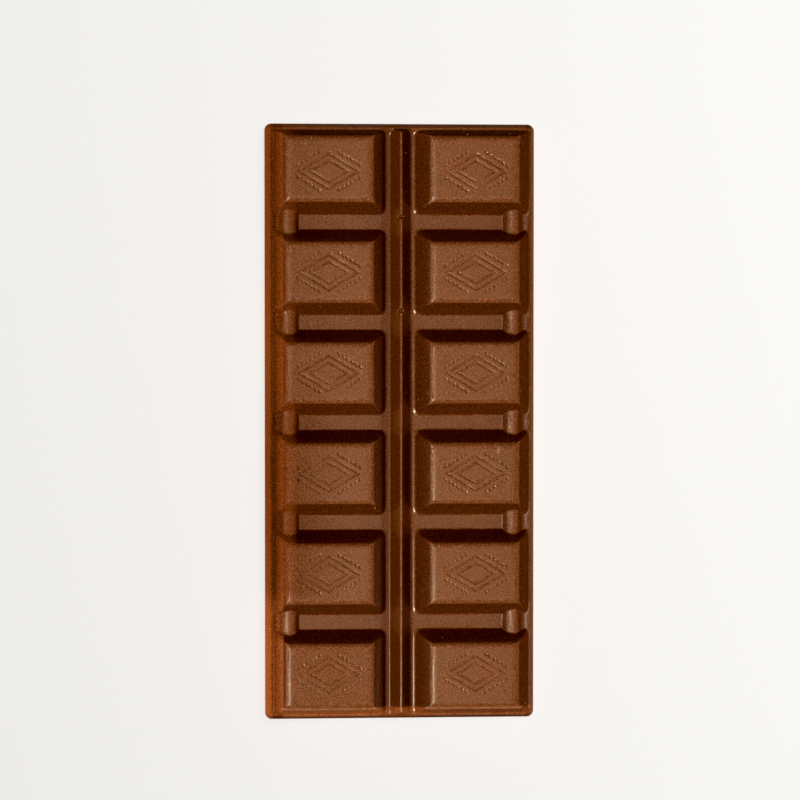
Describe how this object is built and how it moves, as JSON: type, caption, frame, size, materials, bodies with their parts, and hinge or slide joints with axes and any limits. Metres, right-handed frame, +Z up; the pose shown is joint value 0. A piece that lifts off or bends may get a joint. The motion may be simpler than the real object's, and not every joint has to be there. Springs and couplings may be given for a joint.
{
  "type": "milk chocolate tablet",
  "caption": "Unwrapped moulded milk chocolate tablet: pillow-shaped pieces with an engraved lozenge ornament, a low rim, a centre ridge and a small nub at the end of each valley.",
  "frame": {"origin": "middle of the flat poured back, which the tablet lies on", "axes": "+Z up out of the moulded side, +Y along the tablet's length towards the picture's top, +X to the picture's right"},
  "size_m": [0.0702, 0.155, 0.0097],
  "materials": {
    "milk_chocolate": null
  },
  "bodies": {
    "root": {"chocolate_bar": "milk_chocolate"}
  },
  "joints": []
}
